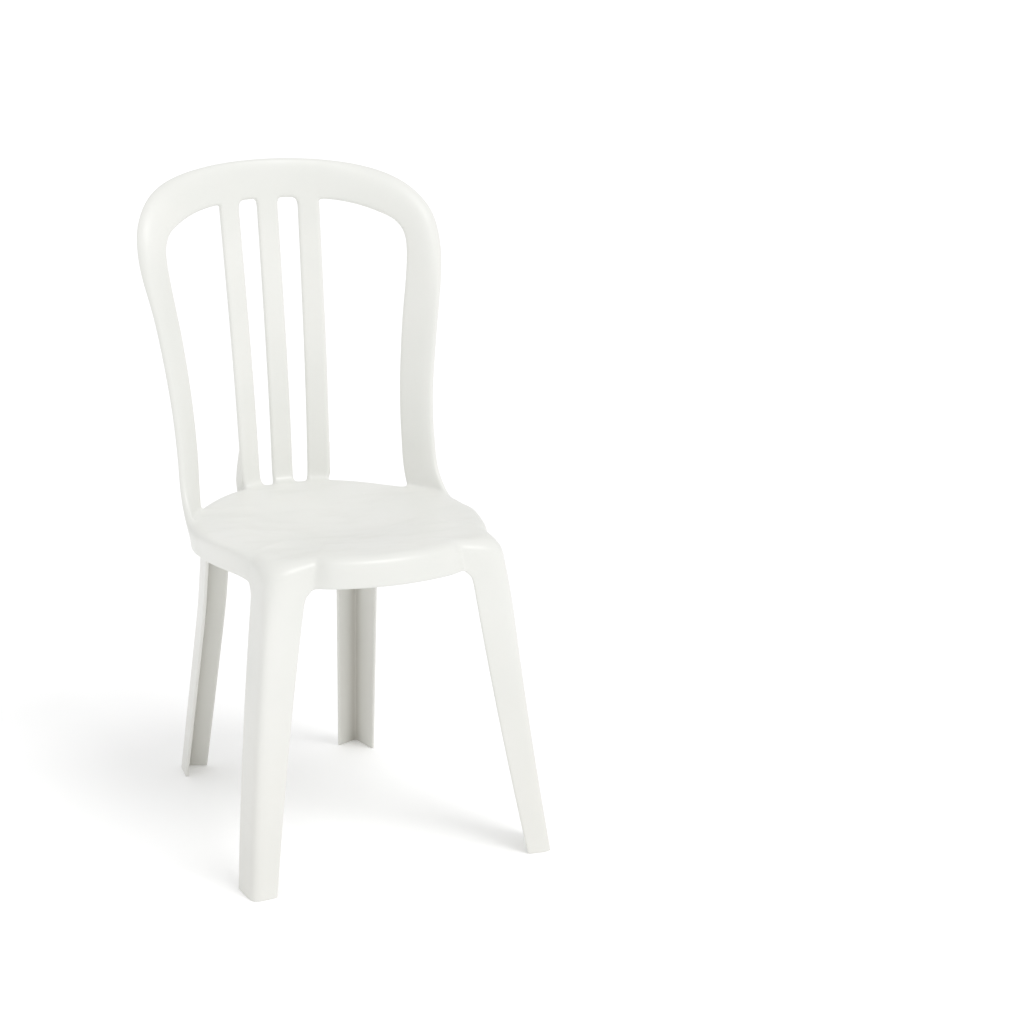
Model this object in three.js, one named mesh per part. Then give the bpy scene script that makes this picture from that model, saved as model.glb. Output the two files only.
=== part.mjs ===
// Stacking bistro chair, injection moulded in one shot from white polypropylene.
//
// Frame: millimetres, +Z up, the sitter faces -Y, +X is the right-hand side seen from the front.
// The origin lies on the floor under the middle of the chair.
//
// The moulding is one thin wall. It is described as a skin of four-sided cells, and each corner of a
// cell is a pair of points, one on each face of the wall. The cells are grouped into the regions that
// a mould drawing names (seat, skirts, legs, hoop, slats), and each region becomes one closed solid.
// Neighbouring regions share their corner points, and each stops half a small gap short of them.

import * as THREE from "three";

const { lerp, smoothstep, degToRad } = THREE.MathUtils;
const V3 = THREE.Vector3;

// ---------------------------------------------------------------- driving dimensions

const WALL = 4.5; // wall thickness of the seat, skirt and legs
const HOLD = 5; // width of the strip along a free edge that keeps the edge crisp
const GAP = 0.15; // each region stops this far short of a joint with its neighbour
const RESIN = { color: 0xeceeea, roughness: 0.32, metalness: 0 };

const SEAT = {
  centre: new THREE.Vector2(0, -30), // middle of the dish
  rimZ: 434, // top of the rim at the sides
  rearLift: 3, // how much higher the rim is under the slats
  rearLiftFade: [20, 50], // angles from straight back over which the lift fades out
  dish: 16, // depth of the dish
  dishRadius: 175,
  liftRise: [90, 190], // distances from the middle over which the seat rises to a lifted rim
  shoulderDip: 0.5, // the shoulder lies this far below the dish's own curve
  rearRadius: 183, // plan radius of the rim behind the sitter
  rearCentreY: 2,
  sideBulge: 15, // how far the sides stand outside the rear radius
  bulgeRise: [50, 95], // angles from straight back over which they swing out
  frontLift: 3, // how much higher the rim is along the front
  frontRadius: 237, // plan radius of the front edge
  frontY: -250.5,
};
const SKIRT = { hemZ: 396, draft: 5, notch: 10, notchDepth: 17 }; // notch: fillet beside a leg
const RIM = { inset: 10, drop: 8, shoulder: 27 }; // the rolled edge between seat and skirt
const EAR = { inset: 17, drop: 13, shoulder: 36 }; // the same over the corner of a front leg
const SIDE_RIM = { inset: 6, drop: 5, shoulder: 22 }; // and tighter along the sides
const EAR_SPREAD = 4.6; // columns to each side of the corner over which the ear fades out

// Where the columns of the skin cross the rim, from the front round the right-hand side.
const FRONT_X = [0, 24, 48, 72, 91];
const SIDE_PLAN = [
  { rim: [175, -140], hem: [172, -139] },
  { rim: [182, -112], hem: [176, -112] },
  { rim: [190, -80], hem: [184, -80] },
  { rim: [196, -48], hem: [190, -48] },
];
// Behind them the columns are given as angles from straight back.
const SIDE_ANGLES = [98, 91];
const WING_ANGLES = [84, 80.5, 76.5, 70.5, 63.8, 61.6, 60];
const WINDOW_ANGLE = 53; // between the wing and the rear leg
const REAR_LEG_ANGLES = [46, 43.4, 40.6, 37.6, 34.6, 31.6, 28.6, 25.8, 23.2];

const FRONT_LEG = {
  footX: 215.5,
  splay: 0.1115, // sideways lean, mm per mm of height
  topY: -226.8,
  kick: 40, // how far the foot stands in front of the leg's top
  kickPower: 1.9,
  kickTopZ: 424,
  frontWall: 37,
  frontWallTaper: 0.049,
  frontWallSkew: 0.12, // the front wall's free edge lies back by this share of its width
  sideWall: 57,
  sideWallTaper: 0.012,
  corner: 12,
  cornerGrowth: 14, // added to the corner's radius at the top
  growthDepth: 60, // and fading out this far below the hem
  cornerDrop: 4, // how far the shoulder over the corner lies below the rim
};
const REAR_LEG = {
  foot: new THREE.Vector2(139.5, 269.6),
  lean: new THREE.Vector2(-0.062, -0.2015), // plan shift per mm of height
  kneeZ: 270, // above this height the leg stands steeper
  kneeSlope: 0.55,
  rearWall: 41,
  rearWallTaper: 0.01,
  rearWallAngle: 205, // plan direction of the rear wall from the corner, degrees
  sideWall: 54.5,
  sideWallTaper: 0.024,
  sideWallAngle: 279,
  corner: 10,
  mergeZ: 380, // below this height the leg is a plain angle section
};
const CORNER_COLUMN = 4; // the corner's place among the nine columns of an angle section
const LEG_LEVELS = [391, 386, 379, 352, 312, 262, 210, 160, 110, 62, 26, HOLD, 0];

// The back is a band on a curved sheet. Height by height, the sheet's middle stands at y, and it
// falls forward by curl * x^2 towards the sides.
const SHEET = [
  { z: 433, y: 179.2, curl: 0.0039 },
  { z: 530, y: 184.7, curl: 0.0035 },
  { z: 626, y: 193.6, curl: 0.00315 },
  { z: 722, y: 205.2, curl: 0.00274 },
  { z: 818, y: 217.3, curl: 0.00228 },
  { z: 892, y: 226.7, curl: 0.00195 },
];
// Centreline of the hoop in front view, from the crown's middle down the right-hand side.
const HOOP_LINE = [
  [0, 863],
  [60, 861],
  [108, 855.5],
  [150, 842.5],
  [179, 822.5],
  [190.5, 794],
  [191, 765],
  [186, 722],
  [178.5, 674],
  [172.4, 626],
  [167.6, 578],
  [165.1, 530],
  [164.8, 500],
];
const HOOP = {
  crownHalfWidth: 27,
  sideHalfWidth: 17.6,
  footHalfWidth: 15.9,
  taperZ: [785, 845], // the band narrows between these heights
  footTaperZ: [530, 700], // and again, a little, between these
  earTop: [845, 865], // the ear, where the outer edge is carried further back, fades out over these
  earFoot: [700, 790], // and below over these
  ear: new THREE.Vector3(4.5, 9.5, 0),
  cornerZ: 785, // the upright begins below this height
  sideStations: 20,
  crowding: 0.92, // below 1 the stations lie closer together towards the foot
  wingBend: 0.7, // how far down the wing starts to sweep forward
  wingRecess: 2,
  wingShares: [0.2, 0.42, 0.64, 0.84], // of the way down the wing
};
const CROWN_SEARCH = { low: 0.5, high: 0.8, steps: 40 }; // range of the hoop's curve parameter
// Across the hoop, from its window edge to its outer edge: where the column lies, how far its front
// face is set back to round the edge, how far behind the sheet its back face lies, and its share of
// the ear.
const HOOP_SECTION = [
  { across: 0, setBack: 1.2, depth: 9, ear: 0 },
  { across: 0.1, setBack: 0.2, depth: 9, ear: 0 },
  { across: 0.17, setBack: 0, depth: 5, ear: 0 },
  { across: 0.47, setBack: 0, depth: 5, ear: 0 },
  { across: 0.74, setBack: 0.8, depth: 5.8, ear: 0.2 },
  { across: 0.9, setBack: 2.6, depth: 10.5, ear: 0.6 },
  { across: 1, setBack: 5.2, depth: 12.5, ear: 1 },
];
const SLAT_SECTION = [
  { across: 0, setBack: 1, depth: 7.5 },
  { across: 0.15, setBack: 0.1, depth: 7.5 },
  { across: 0.25, setBack: 0, depth: 4.8 },
  { across: 0.75, setBack: 0, depth: 4.8 },
  { across: 0.85, setBack: 0.1, depth: 7.5 },
  { across: 1, setBack: 1, depth: 7.5 },
];
const SLAT = {
  halfWidth: 15,
  outerInnerEdge: { root: 35, top: 43 }, // x of the outer slats' inner edges
  width: 29.5,
  flare: 2, // how much each side widens where the slat meets the crown
  cornerReach: 8, // the gap's top is straight beyond this distance from a slat
  levels: [828, 818, 800, 775, 730, 680, 630, 580, 530, 490, 466, 446],
};

// The gusset's depth behind the slat at a height, then behind rows of the rear skirt.
const GUSSET = [
  { z: 490, web: 0.8 },
  { z: 466, web: 6 },
  { z: 446, web: 10 },
  { skirtRow: 0, web: 12 },
  { skirtRow: 1, web: 7 },
  { skirtRow: 2, web: 0.8 },
];

// ---------------------------------------------------------------- the skin

const pairs = []; // corner points of the skin: { face, back }
const cells = []; // { corners: [four pair indices], region }

function addPair(face, back = null) {
  pairs.push({ face, back });
  return pairs.length - 1;
}

// corners run anticlockwise seen from the face side
function addCell(region, ...corners) {
  cells.push({ region, corners });
}

// Mean direction of the cells round each pair, on their face side.
function faceNormals(list) {
  const normals = new Map();
  for (const { corners } of list) {
    const [a, b, c, d = a] = corners.map((i) => pairs[i].face);
    const n = c.clone().sub(a).cross(d.clone().sub(b)).normalize();
    for (const i of corners) normals.set(i, (normals.get(i) ?? new V3()).add(n));
  }
  for (const n of normals.values()) n.normalize();
  return normals;
}

// ---------------------------------------------------------------- plan of the seat's edge

const polar = (angle, radius) =>
  new THREE.Vector2(
    Math.sin(degToRad(angle)) * radius,
    SEAT.rearCentreY + Math.cos(degToRad(angle)) * radius,
  );
// Radius of the rim at an angle from straight back.
const rimRadius = (angle) =>
  SEAT.rearRadius + SEAT.sideBulge * smoothstep(angle, ...SEAT.bulgeRise);
// Height of the rim at an angle from straight back.
const rearRimZ = (angle) =>
  SEAT.rimZ + SEAT.rearLift * (1 - smoothstep(angle, ...SEAT.rearLiftFade));

const frontArc = (x) =>
  new THREE.Vector2(
    x,
    SEAT.frontY + SEAT.frontRadius - Math.sqrt(SEAT.frontRadius ** 2 - x ** 2),
  );

// Plan of an angle section: columns from the free edge of wall A, round the corner, to the free edge
// of wall B. Both walls leave the corner in the directions given.
function angleSection(corner, toA, lengthA, toB, lengthB, radius) {
  const along = (direction, d) => corner.clone().addScaledVector(direction, d);
  const inward = toA.clone().add(toB).multiplyScalar(radius * (1 - Math.SQRT1_2));
  return [
    along(toA, lengthA),
    along(toA, lengthA - HOLD),
    along(toA, (lengthA + radius) / 2),
    along(toA, radius),
    corner.clone().add(inward),
    along(toB, radius),
    along(toB, (lengthB + radius) / 2),
    along(toB, lengthB - HOLD),
    along(toB, lengthB),
  ];
}

// How much wider a leg's walls are near the hem, where a fillet joins them to the skirt.
const notchFillet = (z) =>
  SKIRT.notch * (1 - Math.sin((Math.PI / 2) * smoothstep(SKIRT.hemZ - z, 0, SKIRT.notchDepth)));

function frontLegPlan(z) {
  const g = FRONT_LEG;
  const fillet = notchFillet(z);
  const fall = Math.max(0, 1 - z / g.kickTopZ);
  const corner = new THREE.Vector2(
    g.footX - g.splay * z,
    g.topY - g.kick * fall ** g.kickPower,
  );
  const inwards = new THREE.Vector2(-1, g.frontWallSkew).normalize();
  const backwards = new THREE.Vector2(0, 1);
  return angleSection(
    corner,
    inwards,
    g.frontWall + g.frontWallTaper * z + fillet,
    backwards,
    g.sideWall + g.sideWallTaper * z + fillet,
    g.corner + g.cornerGrowth * smoothstep(z, SKIRT.hemZ - g.growthDepth, SEAT.rimZ),
  );
}

function rearLegPlan(z) {
  const g = REAR_LEG;
  const fillet = notchFillet(z);
  const heading = (angle) =>
    new THREE.Vector2(Math.cos(degToRad(angle)), Math.sin(degToRad(angle)));
  const climbed = Math.min(z, g.kneeZ) + g.kneeSlope * Math.max(0, z - g.kneeZ);
  return angleSection(
    g.foot.clone().addScaledVector(g.lean, climbed),
    heading(g.sideWallAngle),
    g.sideWall + g.sideWallTaper * z + fillet,
    heading(g.rearWallAngle),
    g.rearWall + g.rearWallTaper * z + fillet,
    g.corner,
  );
}

// One column of the skin runs from the middle of the seat over the rim and down the skirt or a leg.
// plan(z) is its place below the rim; name says what it belongs to.
function column(name, rim, plan, extra = {}) {
  return { name, rim, plan, rimZ: SEAT.rimZ, roll: RIM, ...extra };
}

function skirtColumn(name, rim, hem, extra) {
  const plan = (z) =>
    rim.clone().lerp(hem, smoothstep(SEAT.rimZ - z, 0, SEAT.rimZ - SKIRT.hemZ));
  return column(name, rim, plan, extra);
}

function rearSkirtColumn(name, angle) {
  return skirtColumn(
    name,
    polar(angle, rimRadius(angle)),
    polar(angle, rimRadius(angle) - SKIRT.draft),
    { rimZ: rearRimZ(angle), angle },
  );
}

// Column i of a front leg; the ear swells towards the leg's corner.
function frontLegColumn(rim, i) {
  const away = Math.min(Math.abs(i - CORNER_COLUMN) / EAR_SPREAD, 1);
  const nearness = Math.cos((away * Math.PI) / 2) ** 2;
  return column("front_leg", rim, (z) => frontLegPlan(z)[i], {
    rimZ: SEAT.rimZ + SEAT.frontLift - FRONT_LEG.cornerDrop * nearness,
    roll: {
      inset: lerp(RIM.inset, EAR.inset, nearness),
      drop: lerp(RIM.drop, EAR.drop, nearness),
      shoulder: lerp(RIM.shoulder, EAR.shoulder, nearness),
    },
  });
}

// Column i of a rear leg, which leaves the rim at the angle and becomes an angle section lower down.
function rearLegColumn(angle, i) {
  const rim = polar(angle, SEAT.rearRadius);
  const merged = (z) => smoothstep(SEAT.rimZ - z, 0, SEAT.rimZ - REAR_LEG.mergeZ);
  const plan = (z) => rim.clone().lerp(rearLegPlan(z)[i], merged(z));
  return column("rear_leg", rim, plan, { rimZ: rearRimZ(angle) });
}

const rimAngle = (x) => (Math.asin(x / SEAT.rearRadius) * 180) / Math.PI;

// The right-hand half of the edge, from the front middle to the back.
function halfColumns() {
  const list = [];
  const frontRimZ = SEAT.rimZ + SEAT.frontLift;
  for (const x of FRONT_X)
    list.push(skirtColumn("front", frontArc(x), frontArc(x), { rimZ: frontRimZ }));
  list.push(...frontLegPlan(SEAT.rimZ).map(frontLegColumn));
  for (const { rim, hem } of SIDE_PLAN)
    list.push(
      skirtColumn("side", new THREE.Vector2(...rim), new THREE.Vector2(...hem), {
        roll: SIDE_RIM,
      }),
    );

  for (const angle of SIDE_ANGLES) list.push(rearSkirtColumn("side", angle));
  for (const angle of WING_ANGLES) list.push(rearSkirtColumn("wing", angle));
  list.push(rearSkirtColumn("side", WINDOW_ANGLE));
  list.push(...REAR_LEG_ANGLES.map(rearLegColumn));

  const outer = SLAT.outerInnerEdge.root;
  for (const { across } of [...SLAT_SECTION].reverse())
    list.push(rearSkirtColumn("outer_slat", rimAngle(outer + across * SLAT.width)));
  list.push(rearSkirtColumn("rear", rimAngle((outer + SLAT.halfWidth) / 2)));
  for (const { across } of SLAT_SECTION.slice(3).reverse())
    list.push(
      rearSkirtColumn("centre_slat", rimAngle((across - 0.5) * 2 * SLAT.halfWidth)),
    );
  return list;
}

const flipPlan = (v) => new THREE.Vector2(-v.x, v.y);
const mirrorColumn = (c) => ({
  ...c,
  rim: flipPlan(c.rim),
  plan: (z) => flipPlan(c.plan(z)),
  mirrored: true,
});

const rightHalf = halfColumns();
const columns = [...rightHalf, ...rightHalf.slice(1).reverse().map(mirrorColumn)];

// ---------------------------------------------------------------- seat, skirt and legs

// Height of the seat's top surface inside the rim.
function dishZ(distance, rimZ) {
  const share = Math.min(distance / SEAT.dishRadius, 1);
  const hollow = SEAT.dish * 0.5 * (1 + Math.cos(Math.PI * share));
  return lerp(SEAT.rimZ, rimZ, smoothstep(distance, ...SEAT.liftRise)) - hollow;
}

// Moves a plan point towards the middle of the seat.
function towardsMiddle(plan, distance) {
  const inward = SEAT.centre.clone().sub(plan);
  return plan.clone().addScaledVector(inward, distance / inward.length());
}

const RING_SHARES = [0.12, 0.3, 0.48, 0.66, 0.82]; // rings between the middle and the rim
const RING_CIRCLE = 190; // the inner rings are circles of a share of this radius

function seatRow(col) {
  const shoulder = towardsMiddle(col.rim, col.roll.shoulder);
  const spoke = shoulder.clone().sub(SEAT.centre);
  const row = RING_SHARES.map((share) => {
    const outline = spoke.length() * share;
    const circle = RING_CIRCLE * share;
    const radius = lerp(circle, outline, share ** 3);
    const at = SEAT.centre.clone().addScaledVector(spoke, radius / spoke.length());
    return new V3(at.x, at.y, dishZ(radius, col.rimZ));
  });
  const shoulderZ = dishZ(spoke.length(), col.rimZ) - SEAT.shoulderDip;
  row.push(new V3(shoulder.x, shoulder.y, shoulderZ));
  const lip = towardsMiddle(col.rim, col.roll.inset);
  row.push(new V3(lip.x, lip.y, col.rimZ));
  return row;
}

function wallRow(col) {
  const top = col.rimZ - col.roll.drop;
  const levels = [top, lerp(top, SKIRT.hemZ, 0.4), SKIRT.hemZ + HOLD, SKIRT.hemZ];
  if (col.name.endsWith("leg")) levels.push(...LEG_LEVELS);
  return levels.map((z, i) => {
    const at = i ? col.plan(z) : col.rim;
    return new V3(at.x, at.y, z);
  });
}

const SEAT_ROWS = RING_SHARES.length + 2;
const LIP_ROW = SEAT_ROWS; // pair rows count from the seat's middle, which is row 0
const EDGE_ROW = LIP_ROW + 1;
const HEM_ROW = EDGE_ROW + 3;

const middle = addPair(new V3(SEAT.centre.x, SEAT.centre.y, dishZ(0, SEAT.rimZ)));
const grid = columns.map((col) => [
  middle,
  ...[...seatRow(col), ...wallRow(col)].map((p) => addPair(p)),
]);

// The region a wall cell belongs to, from the columns on its two sides.
function wallRegion(a, b) {
  const side = a.mirrored || b.mirrored ? "left" : "right";
  for (const leg of ["front_leg", "rear_leg"])
    if (a.name === leg && b.name === leg)
      return `leg_${leg.slice(0, -4)}_${side}`;
  const names = [a.name, b.name];
  if (names.includes("front")) return "skirt_front";
  if (names.some((n) => n === "side" || n === "wing")) return `skirt_${side}`;
  return "skirt_rear";
}

columns.forEach((a, i) => {
  const next = (i + 1) % columns.length;
  const b = columns[next];
  const left = grid[i];
  const right = grid[next];
  const region = wallRegion(a, b);
  const rows = Math.min(left.length, right.length) - 1;
  const last = region.startsWith("leg") ? rows : HEM_ROW;
  addCell("seat_panel", left[1], right[1], middle);
  for (let r = 1; r < last; r++)
    addCell(r < EDGE_ROW ? "seat_panel" : region, left[r], left[r + 1], right[r + 1], right[r]);
});

// ---------------------------------------------------------------- the back's curved sheet

const sheetTable = new THREE.CubicInterpolant(
  SHEET.map((s) => s.z),
  SHEET.flatMap((s) => [s.y, s.curl]),
  2,
);

function sheetAt(x, z) {
  const [y, curl] = sheetTable.evaluate(z);
  return { y: y - curl * x * x, slope: 2 * curl * x };
}

// A point of the sheet, moved back by a distance square to the sheet.
function onSheet(x, z, distance) {
  const { y, slope } = sheetAt(x, z);
  const lean = sheetAt(x, z + 1).y - y;
  return new V3(x, y, z).addScaledVector(new V3(slope, 1, -lean).normalize(), distance);
}

function sheetPair(x, z, { setBack, depth }) {
  return addPair(onSheet(x, z, setBack), onSheet(x, z, depth));
}

const flip = (p) => new V3(-p.x, p.y, p.z);
const mirrorPair = (i) => addPair(flip(pairs[i].face), flip(pairs[i].back));

// Pairs standing on the rolled rim, one per seat column: in front the rim's lip, behind its edge.
function rimFooting(chosen) {
  const up = new V3(0, 0, 2 * GAP);
  return chosen.map((k) =>
    addPair(
      pairs[grid[k][LIP_ROW]].face.clone().add(up),
      pairs[grid[k][EDGE_ROW]].face.clone().add(up),
    ),
  );
}

const columnsNamed = (name, mirrored) =>
  columns.flatMap((c, k) => (c.name === name && Boolean(c.mirrored) === mirrored ? [k] : []));

// ---------------------------------------------------------------- hoop

const hoopCurve = new THREE.SplineCurve(
  [...HOOP_LINE.slice(1).reverse().map(([x, z]) => [-x, z]), ...HOOP_LINE].map(
    ([x, z]) => new THREE.Vector2(x, z),
  ),
);

// One station is a row of pairs across the hoop, from the window edge to the outer edge.
function hoopStation(u, region, slat = null) {
  const at = hoopCurve.getPoint(u);
  const along = hoopCurve.getTangent(u);
  const { crownHalfWidth, sideHalfWidth, footHalfWidth } = HOOP;
  const side = lerp(footHalfWidth, sideHalfWidth, smoothstep(at.y, ...HOOP.footTaperZ));
  const half = lerp(side, crownHalfWidth, smoothstep(at.y, ...HOOP.taperZ));
  const ear = smoothstep(at.y, ...HOOP.earFoot) * (1 - smoothstep(at.y, ...HOOP.earTop));
  const row = HOOP_SECTION.map((column, j) => {
    const off = (column.across - 0.5) * 2 * half;
    const flush = slat && j === 0 ? { ...column, setBack: 0 } : column;
    const pair = sheetPair(at.x - along.y * off, at.y + along.x * off, flush);
    for (const point of [pairs[pair].face, pairs[pair].back])
      point.addScaledVector(HOOP.ear, ear * column.ear);
    return pair;
  });
  return { row, region, slat };
}

// Curve parameter where the crown's centreline passes x.
function crownParameter(x) {
  let { low, high } = CROWN_SEARCH;
  for (let i = 0; i < CROWN_SEARCH.steps; i++) {
    const half = (low + high) / 2;
    if (hoopCurve.getPoint(half).x < x) low = half;
    else high = half;
  }
  return low;
}

function slatX(slat, across, z) {
  const { root, top } = SLAT.outerInnerEdge;
  const share = (z - SLAT.levels.at(-1)) / (SLAT.levels[0] - SLAT.levels.at(-1));
  if (slat === "centre") return (across - 0.5) * 2 * SLAT.halfWidth;
  return lerp(root, top, share) + across * SLAT.width;
}

// The right-hand half of the hoop, from the crown down to the rim of the seat.
function halfHoop() {
  const list = [];
  const crownAt = (x, slat) => list.push(hoopStation(crownParameter(x), "hoop_crown", slat));
  const topX = (slat, across) => slatX(slat, across, SLAT.levels[0]);
  const flared = (slat, across) => {
    const atEdge = across === 0 || across === 1;
    return topX(slat, across) + (atEdge ? SLAT.flare * Math.sign(across - 0.5) : 0);
  };
  for (const { across } of SLAT_SECTION.slice(3)) crownAt(flared("centre", across), "centre");
  crownAt(topX("centre", 1) + SLAT.cornerReach, null);
  crownAt(topX("right", 0) - SLAT.cornerReach, null);
  for (const { across } of SLAT_SECTION) crownAt(flared("right", across), "right");
  const start = crownParameter(flared("right", 1));
  for (let i = 1; i <= HOOP.sideStations; i++) {
    const u = lerp(start, 1, (i / HOOP.sideStations) ** HOOP.crowding);
    const z = hoopCurve.getPoint(u).y;
    const region = z > HOOP.cornerZ ? "hoop_corner_right" : "upright_right";
    list.push(hoopStation(u, region));
  }
  const top = list.at(-1).row;
  const root = rimFooting(columnsNamed("wing", false).reverse());
  for (const t of HOOP.wingShares)
    list.push({ row: top.map((k, j) => wingPair(k, root[j], t)), region: "wing_right" });
  list.push({ row: root, region: "wing_right" });
  return list;
}

// Between the upright and the rim the wing sweeps down and forward like a fillet.
function wingPair(above, below, t) {
  const sweep = (side) => {
    const from = pairs[above][side];
    const to = pairs[below][side];
    const bendZ = lerp(from.z, to.z, HOOP.wingBend);
    const bend = new V3(from.x, from.y - HOOP.wingRecess, bendZ);
    return new THREE.QuadraticBezierCurve3(from, bend, to).getPoint(t);
  };
  return addPair(sweep("face"), sweep("back"));
}

const mirrorName = (name) => name.replace(/right$/, "left");
const rightHoop = halfHoop();
const leftHoop = rightHoop.map(({ row, region, slat }) => ({
  row: row.map(mirrorPair),
  region: mirrorName(region),
  slat: slat && mirrorName(slat),
}));
const hoop = [...leftHoop.reverse(), ...rightHoop];

hoop.slice(1).forEach((b, i) => {
  const a = hoop[i];
  const region = i < leftHoop.length ? a.region : b.region;
  for (let j = 1; j < HOOP_SECTION.length; j++)
    addCell(region, a.row[j - 1], b.row[j - 1], b.row[j], a.row[j]);
});

// ---------------------------------------------------------------- slats and their gussets

function slatRows(slat) {
  const mirrored = slat === "left";
  const topRow = hoop.filter((s) => s.slat === slat).map((s) => s.row[0]);
  const rows = SLAT.levels.map((z) => {
    const row = SLAT_SECTION.map((column) =>
      sheetPair(slatX(slat, column.across, z), z, column),
    );
    return mirrored ? row.map(mirrorPair).reverse() : row;
  });
  const roots =
    slat === "centre"
      ? [...columnsNamed("centre_slat", false), ...columnsNamed("centre_slat", true)]
      : columnsNamed("outer_slat", mirrored);
  return [topRow, ...rows, rimFooting(roots.reverse())];
}

function layRows(region, rows) {
  rows.slice(1).forEach((below, i) => {
    const above = rows[i];
    for (let j = 1; j < below.length; j++)
      addCell(region, above[j - 1], below[j - 1], below[j], above[j]);
  });
}

for (const slat of ["left", "centre", "right"]) layRows(`slat_${slat}`, slatRows(slat));

// A web behind the outer edge of an outer slat carries it down on to the skirt.
function gussetRows(mirrored) {
  const seatColumns = columnsNamed("outer_slat", false).slice(0, 2).reverse();
  const edgeColumns = SLAT_SECTION.slice(-2);
  return GUSSET.map(({ z, web, skirtRow }) => {
    const row = seatColumns.map((k, j) => {
      const angle = degToRad(columns[k].angle);
      const out = new V3(Math.sin(angle), Math.cos(angle), 0);
      const at = z
        ? onSheet(slatX("right", edgeColumns[j].across, z), z, edgeColumns[j].depth)
        : pairs[grid[k][EDGE_ROW + skirtRow]].face.clone();
      at.addScaledVector(out, 2 * GAP);
      return addPair(at, at.clone().addScaledVector(out, web));
    });
    return mirrored ? row.map(mirrorPair).reverse() : row;
  });
}

layRows("gusset_right", gussetRows(false));
layRows("gusset_left", gussetRows(true));

// ---------------------------------------------------------------- thickness and solids

// Give the skin's pairs their back point, one wall thickness in. Feet are cut flat on the floor.
for (const [i, n] of faceNormals(cells)) {
  if (pairs[i].back) continue;
  if (pairs[i].face.z === 0) n.setZ(0).normalize();
  pairs[i].back = pairs[i].face.clone().addScaledVector(n, -WALL);
}

// The regions that meet at each pair.
const regionsAt = pairs.map(() => new Set());
for (const { region, corners } of cells) for (const i of corners) regionsAt[i].add(region);

// Where two regions meet, each one stops half a gap short of the joint.
function pulledPairs(list) {
  const pull = new Map();
  for (const { corners } of list) {
    const centre = new V3();
    for (const i of corners) centre.addScaledVector(pairs[i].face, 1 / corners.length);
    for (const i of corners)
      pull.set(i, (pull.get(i) ?? new V3()).add(centre.clone().sub(pairs[i].face).normalize()));
  }
  const pulled = new Map();
  for (const [i, direction] of pull) {
    const step = regionsAt[i].size > 1 ? GAP : 0;
    const shift = direction.normalize().multiplyScalar(step);
    pulled.set(i, {
      face: pairs[i].face.clone().add(shift),
      back: pairs[i].back.clone().add(shift),
    });
  }
  return pulled;
}

// Splits a cell's quad along its shorter diagonal.
function pushPolygon(out, [a, b, c, d]) {
  if (!d) out.push(a, b, c);
  else if (a.distanceToSquared(c) <= b.distanceToSquared(d)) out.push(a, b, c, a, c, d);
  else out.push(a, b, d, b, c, d);
}

function solid(region) {
  const list = cells.filter((c) => c.region === region);
  const points = pulledPairs(list);
  const corners = [];
  const edges = new Map();
  for (const cell of list) {
    const ring = cell.corners.map((i) => points.get(i));
    pushPolygon(corners, ring.map((p) => p.face));
    pushPolygon(corners, ring.map((p) => p.back).reverse());
    cell.corners.forEach((i, k) => {
      const j = cell.corners[(k + 1) % cell.corners.length];
      if (edges.has(`${j} ${i}`)) edges.delete(`${j} ${i}`);
      else edges.set(`${i} ${j}`, [i, j]);
    });
  }
  for (const [i, j] of edges.values()) {
    const [p, q] = [points.get(i), points.get(j)];
    pushPolygon(corners, [q.face, p.face, p.back, q.back]);
  }
  const geometry = new THREE.BufferGeometry().setFromPoints(corners);
  geometry.computeVertexNormals();
  return geometry;
}

const group = new THREE.Group();
group.name = "stacking_chair";
for (const region of [...new Set(cells.map((c) => c.region))].sort()) {
  const mesh = new THREE.Mesh(solid(region), new THREE.MeshStandardMaterial(RESIN));
  mesh.name = region;
  group.add(mesh);
}

export default group;
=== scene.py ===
"""The stacking chair's finished surfaces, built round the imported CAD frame.

The whole chair is one control net of four-sided cells, each corner a pair of points, one on each face
of the moulded wall. Catmull-Clark subdivision turns the net into one smooth skin, which is then cut into
the regions that the CAD nodes stand for. Lengths in the net are millimetres, and the finished meshes are
metres.
"""

import math

import re

import bmesh
import bpy
import numpy as np
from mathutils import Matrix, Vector


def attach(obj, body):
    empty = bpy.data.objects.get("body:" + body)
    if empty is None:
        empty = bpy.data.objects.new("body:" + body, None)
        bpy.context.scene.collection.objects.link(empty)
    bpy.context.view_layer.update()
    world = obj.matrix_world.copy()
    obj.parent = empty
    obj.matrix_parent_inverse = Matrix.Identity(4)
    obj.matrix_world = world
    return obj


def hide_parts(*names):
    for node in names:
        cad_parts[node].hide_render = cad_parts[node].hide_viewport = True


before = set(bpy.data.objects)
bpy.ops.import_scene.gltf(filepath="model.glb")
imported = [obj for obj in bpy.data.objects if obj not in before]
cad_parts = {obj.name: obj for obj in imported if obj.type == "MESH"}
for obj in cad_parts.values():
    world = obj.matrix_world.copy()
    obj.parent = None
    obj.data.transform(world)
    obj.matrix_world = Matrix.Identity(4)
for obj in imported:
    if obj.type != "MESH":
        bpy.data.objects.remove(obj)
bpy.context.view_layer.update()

MM = 0.001
LEVELS = 2  # subdivision steps from the control net to the finished skin
FOOT_CREASE = 0.4  # how crisp the cut ends of the feet are, 1 for a knife edge

# ---------------------------------------------------------------- driving dimensions, in millimetres

WALL = 4.5  # wall thickness of the seat, skirt and legs
HOLD = 5  # width of the strip along a free edge that keeps the edge crisp

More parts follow.
